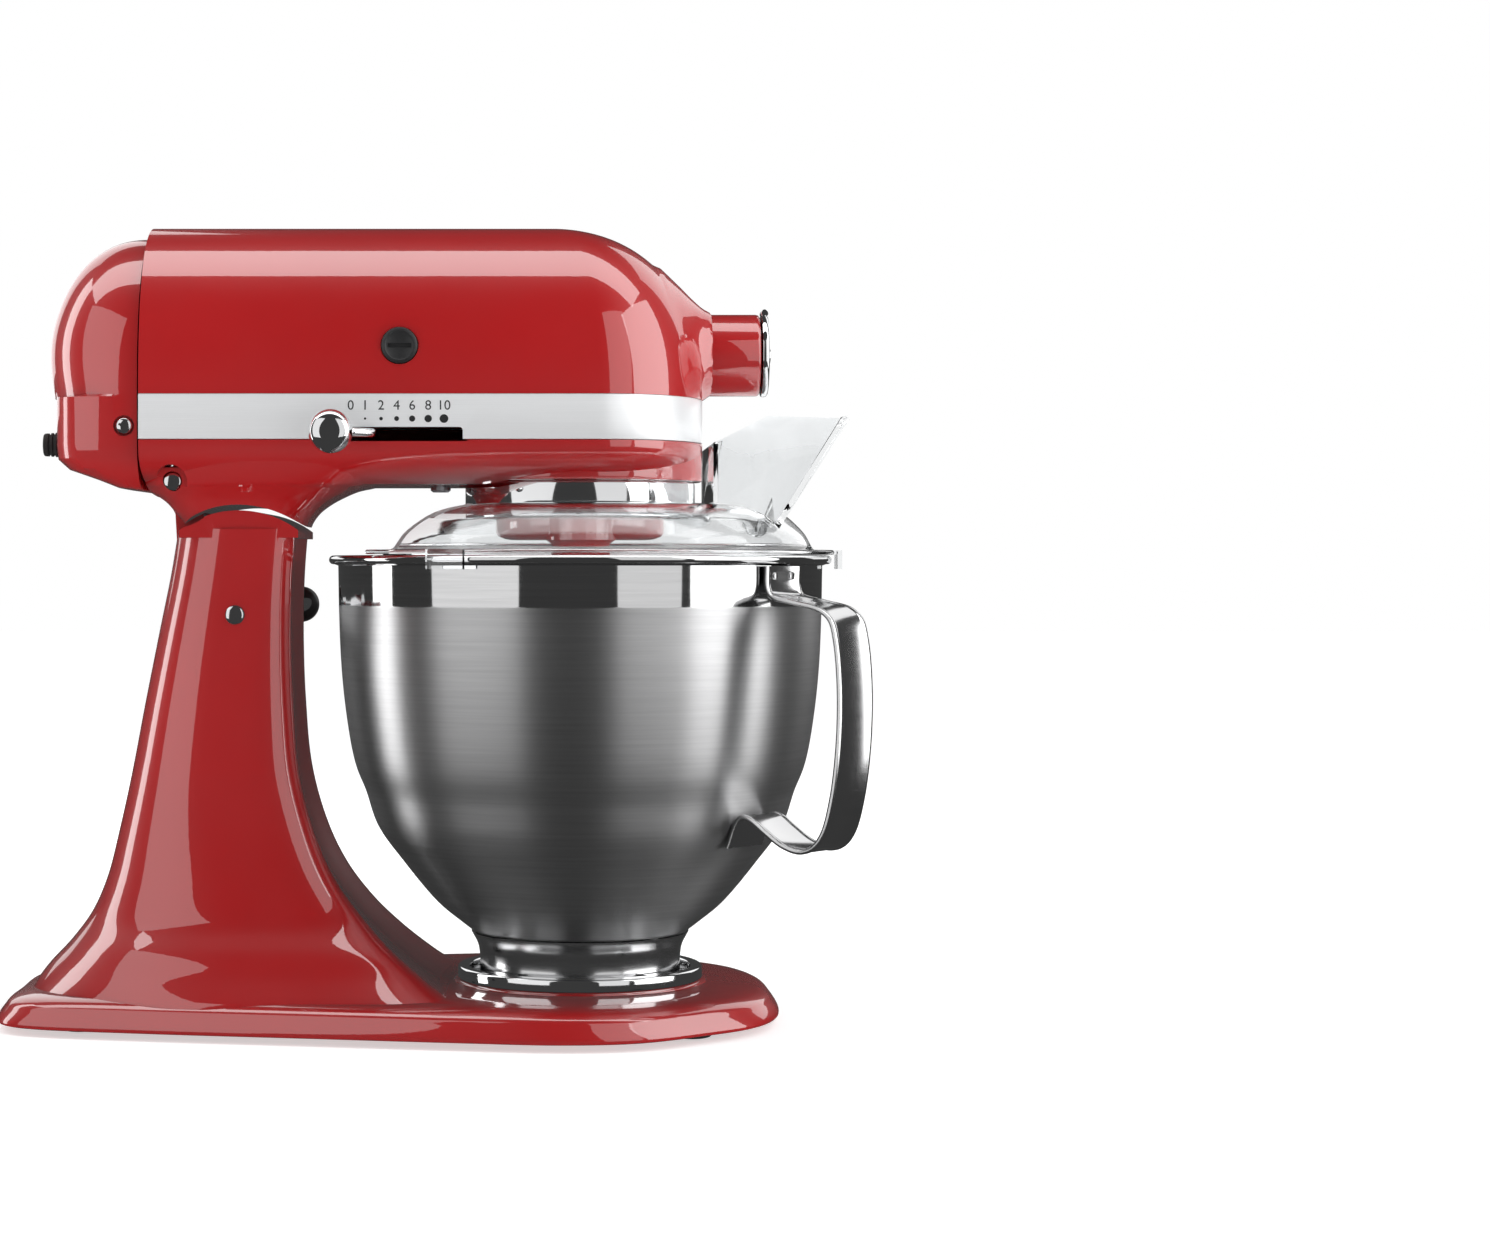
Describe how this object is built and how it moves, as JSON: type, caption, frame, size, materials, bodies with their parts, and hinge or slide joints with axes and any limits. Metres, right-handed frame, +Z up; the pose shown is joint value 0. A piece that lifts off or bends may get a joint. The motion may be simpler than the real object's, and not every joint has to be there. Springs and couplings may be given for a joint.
{
  "type": "stand mixer",
  "caption": "Tilt-head stand mixer with a steel bowl, clear pouring shield and chute, and a geared planetary beater drive.",
  "frame": {"origin": "centre of the machine's box at the level of the worktop", "axes": "+X towards the nose and the attachment hub, +Z up, speed lever on the -Y side"},
  "size_m": [0.3869, 0.2326, 0.3604],
  "materials": {
    "red_paint": "glossy red enamel over cast metal",
    "chrome": "mirror chrome",
    "brushed_steel": "brushed stainless steel, polished band under the rim",
    "polished_steel": "polished stainless steel",
    "trim_aluminium": "satin brushed",
    "clear_plastic": "clear and glossy",
    "black_plastic": "moulded, satin",
    "rubber": "matt",
    "gear_steel": "machined",
    "iron": "stacked laminations",
    "brass": "machined",
    "copper": "enamelled windings over laminations",
    "carbon": "pressed graphite",
    "circuit_board": "lacquered"
  },
  "bodies": {
    "stand": {"stand_casting": "red_paint", "bowl_clamp_plate": "chrome", "clamp_screw_1": "gear_steel", "clamp_screw_2": "gear_steel", "clamp_screw_3": "gear_steel", "foot_front_left": "rubber", "foot_front_right": "rubber", "foot_rear_left": "rubber", "foot_rear_right": "rubber", "foot_centre": "rubber", "hinge_pin": "chrome"},
    "lock_lever": {"lock_shaft": "chrome", "lock_knob": "black_plastic"},
    "head": {"upper_housing": "red_paint", "lower_gearcase": "red_paint", "trim_band": "trim_aluminium", "end_cap": "red_paint", "cord_gland": "rubber", "control_board": "circuit_board", "motor_stator": "iron", "rear_bearing": "brass", "front_bearing": "brass", "ring_gear": "gear_steel", "drip_ring": "chrome", "brush_cap_left": "black_plastic", "brush_cap_right": "black_plastic", "brush_holder_left": "brass", "brush_holder_right": "brass", "carbon_brush_left": "carbon", "carbon_brush_right": "carbon", "end_cap_screw_left": "chrome", "end_cap_screw_right": "chrome"},
    "armature": {"armature_shaft": "gear_steel", "armature_core": "copper", "commutator": "brass", "cooling_fan": "black_plastic"},
    "reduction": {"reduction_shaft": "gear_steel", "worm_wheel": "brass"},
    "planetary_drive": {"planetary": "red_paint", "planetary_shaft": "gear_steel", "centre_gear": "gear_steel", "centre_bevel": "gear_steel"},
    "beater_drive": {"beater_spindle": "chrome", "planet_pinion": "gear_steel"},
    "attachment_drive": {"hub_drive": "gear_steel"},
    "hub_door": {"hub_cover": "chrome"},
    "attachment_clamp": {"attachment_knob": "black_plastic", "attachment_screw": "gear_steel"},
    "speed_lever": {"speed_lever_rod": "chrome", "speed_lever_knob": "chrome"},
    "height_screw": {"height_adjust_screw": "gear_steel"},
    "mixing_bowl": {"bowl": "brushed_steel", "bowl_foot": "polished_steel", "bowl_handle": "polished_steel"},
    "splash_shield": {"pouring_shield": "clear_plastic"},
    "chute": {"pouring_chute": "clear_plastic"}
  },
  "joints": [
    {"name": "head_tilt", "type": "hinge", "parent": "stand", "child": "head", "pos_m": [-0.1131, 0, 0.244], "axis": [0, -1, 0], "range_deg": [0, 45]},
    {"name": "head_lock", "type": "hinge", "parent": "stand", "child": "lock_lever", "pos_m": [-0.0861, 0, 0.1846], "axis": [0, -1, 0], "range_deg": [0, 60]},
    {"name": "planetary_spin", "type": "hinge", "parent": "head", "child": "planetary_drive", "pos_m": [0.0679, 0, 0.225], "axis": [0, 0, 1], "continuous": true},
    {"name": "beater_spin", "type": "hinge", "parent": "planetary_drive", "child": "beater_drive", "pos_m": [0.0679, -0.028, 0.21], "axis": [0, 0, 1], "continuous": true},
    {"name": "reduction_spin", "type": "hinge", "parent": "head", "child": "reduction", "pos_m": [0.0379, 0.0225, 0.285], "axis": [0, 0, 1], "continuous": true},
    {"name": "motor_spin", "type": "hinge", "parent": "head", "child": "armature", "pos_m": [-0.0321, 0, 0.303], "axis": [1, 0, 0], "continuous": true},
    {"name": "attachment_spin", "type": "hinge", "parent": "head", "child": "attachment_drive", "pos_m": [0.0979, 0, 0.303], "axis": [1, 0, 0], "continuous": true},
    {"name": "hub_door_swing", "type": "hinge", "parent": "head", "child": "hub_door", "pos_m": [0.1524, 0, 0.3222], "axis": [0, -1, 0], "range_deg": [0, 100]},
    {"name": "attachment_knob_turn", "type": "hinge", "parent": "head", "child": "attachment_clamp", "pos_m": [0.1259, 0.053, 0.303], "axis": [0, 1, 0], "continuous": true},
    {"name": "speed_select", "type": "slide", "parent": "head", "child": "speed_lever", "axis": [1, 0, 0], "range_m": [0, 0.036]},
    {"name": "height_screw_turn", "type": "hinge", "parent": "head", "child": "height_screw", "pos_m": [0.0039, 0, 0.245], "axis": [0, 0, 1], "range_deg": [-180, 180]},
    {"name": "bowl_twist", "type": "hinge", "parent": "stand", "child": "mixing_bowl", "pos_m": [0.0679, 0, 0.03], "axis": [0, 0, 1], "range_deg": [0, 20]},
    {"name": "shield_lift", "type": "slide", "parent": "stand", "child": "splash_shield", "axis": [0, 0, 1], "range_m": [0, 0.01]},
    {"name": "chute_lift", "type": "slide", "parent": "splash_shield", "child": "chute", "axis": [0, 0, 1], "range_m": [0, 0.01]}
  ],
  "couplings": [
    {"joint": "beater_spin", "follows": "planetary_spin", "ratio": -3.3333},
    {"joint": "reduction_spin", "follows": "planetary_spin", "ratio": -3.1667},
    {"joint": "motor_spin", "follows": "planetary_spin", "ratio": 63.333},
    {"joint": "attachment_spin", "follows": "planetary_spin", "ratio": 1}
  ]
}
